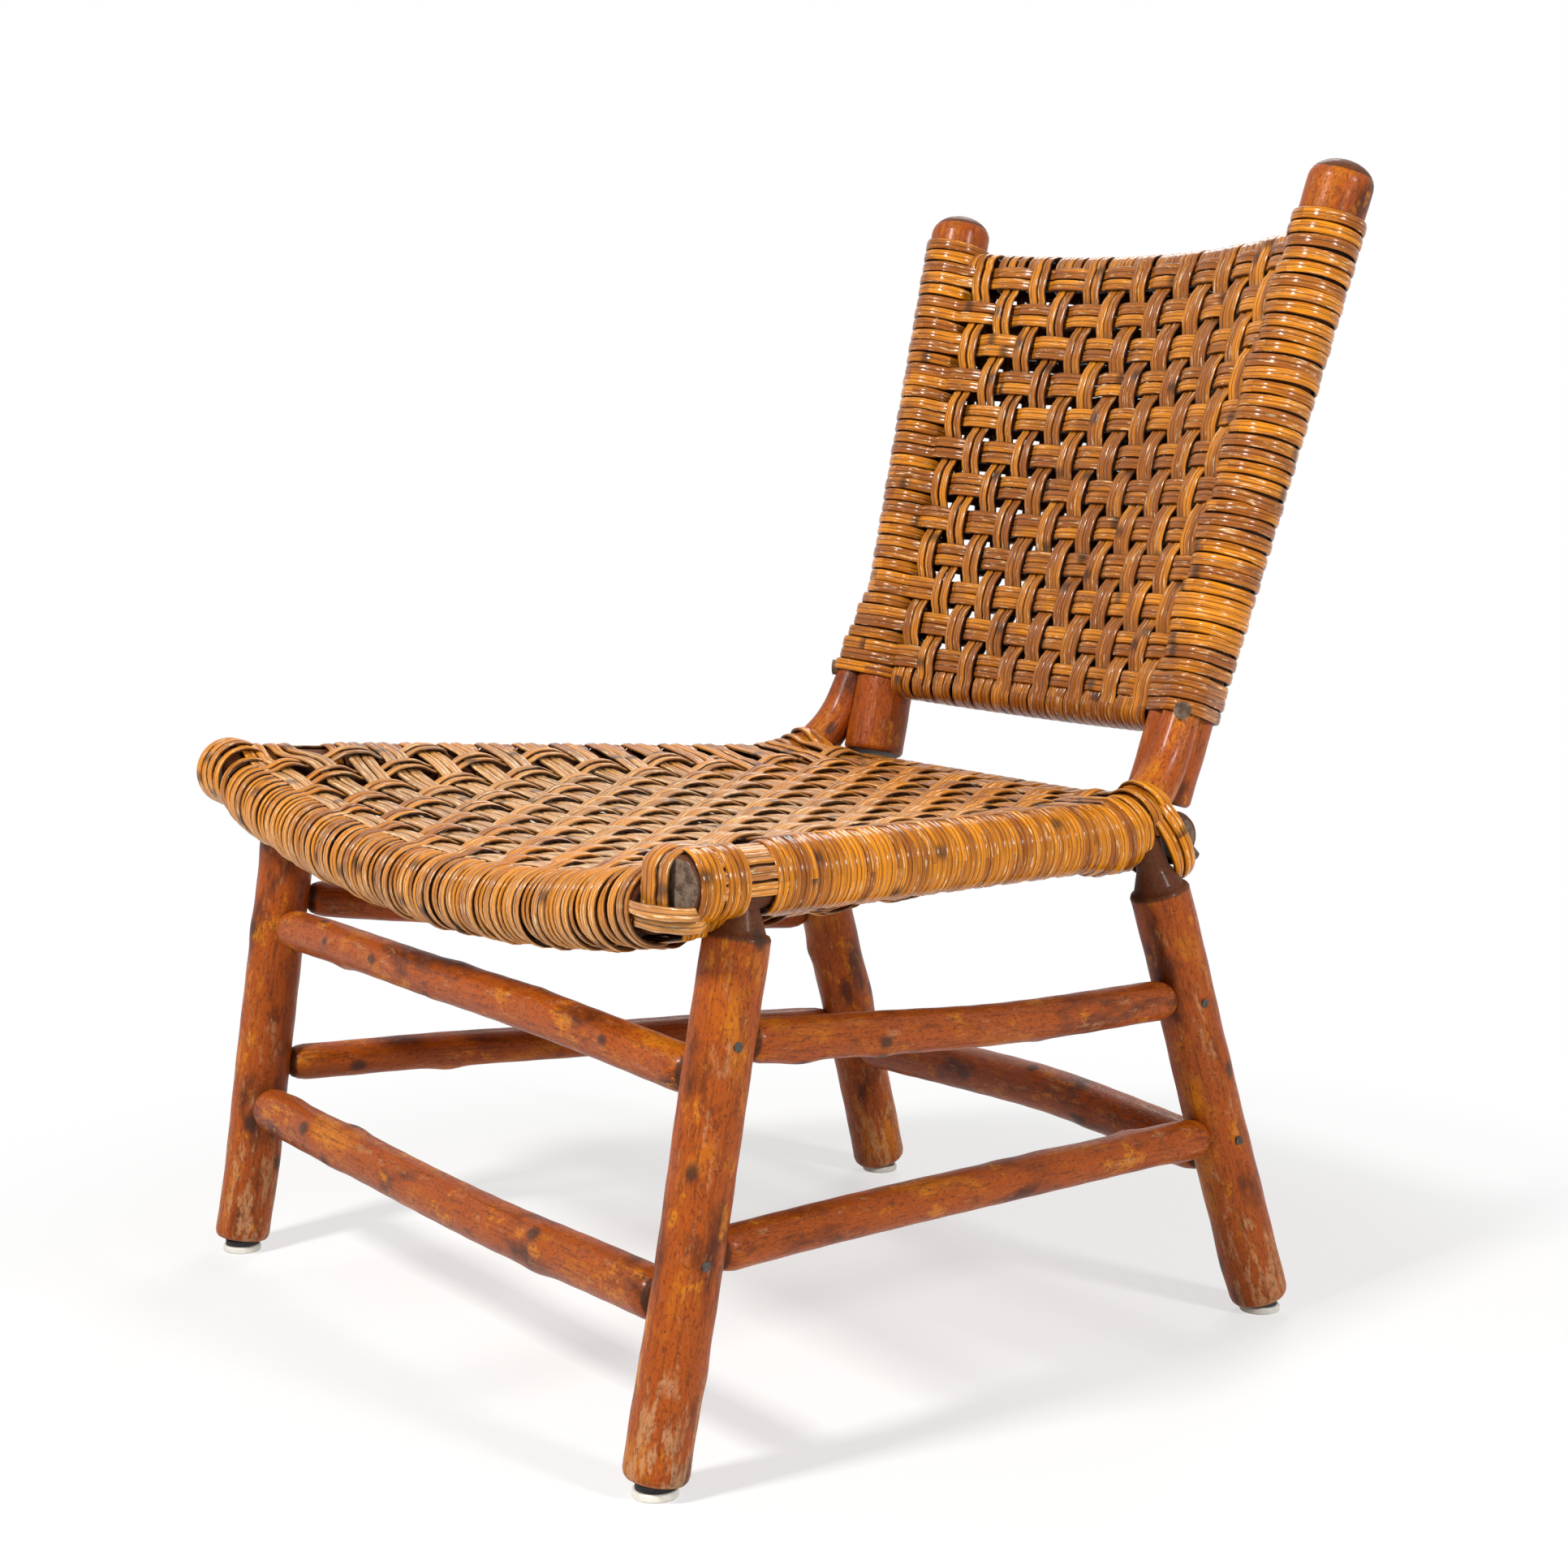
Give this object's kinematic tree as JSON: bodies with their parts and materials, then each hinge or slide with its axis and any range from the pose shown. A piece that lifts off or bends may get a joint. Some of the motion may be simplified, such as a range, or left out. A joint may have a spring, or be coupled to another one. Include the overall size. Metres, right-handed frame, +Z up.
{
  "type": "lounge chair",
  "caption": "Armless low lounge chair of round peeled poles on splayed legs with stretchers, its dished seat and bowed back woven from paired rattan strands.",
  "frame": {"origin": "on the floor under the middle of the chair's outline box", "axes": "+Z up, the sitter faces -Y, +X at the sitter's left hand"},
  "size_m": [0.6866, 0.6682, 0.7962],
  "materials": {
    "hickory": "varnished peeled pole",
    "plug_wood": "dark end grain",
    "rattan": "glossy peel",
    "glide_nylon": "satin",
    "glide_rubber": "matt",
    "steel": "dull"
  },
  "bodies": {
    "root": {"back_warp_strands": "rattan", "back_weft_strands": "rattan", "bottom_back_rail": "hickory", "frame_screws": "steel", "front_lower_stretcher": "hickory", "front_seat_rail": "hickory", "front_upper_stretcher": "hickory", "glide_nails": "steel", "joint_nails": "steel", "left_back_post": "hickory", "left_corner_loop": "rattan", "left_front_glide": "glide_nylon", "left_front_glide_cushion": "glide_rubber", "left_front_leg": "hickory", "left_lower_stretcher": "hickory", "left_rear_glide": "glide_nylon", "left_rear_glide_cushion": "glide_rubber", "left_rear_leg": "hickory", "left_screw_plug": "plug_wood", "left_side_rail": "hickory", "left_upper_stretcher": "hickory", "rear_seat_rail": "hickory", "rear_stretcher": "hickory", "right_back_post": "hickory", "right_corner_loop": "rattan", "right_front_glide": "glide_nylon", "right_front_glide_cushion": "glide_rubber", "right_front_leg": "hickory", "right_lower_stretcher": "hickory", "right_rear_glide": "glide_nylon", "right_rear_glide_cushion": "glide_rubber", "right_rear_leg": "hickory", "right_screw_plug": "plug_wood", "right_side_rail": "hickory", "right_upper_stretcher": "hickory", "seat_warp_strands": "rattan", "seat_weft_strands": "rattan", "top_back_rail": "hickory"}
  },
  "joints": []
}
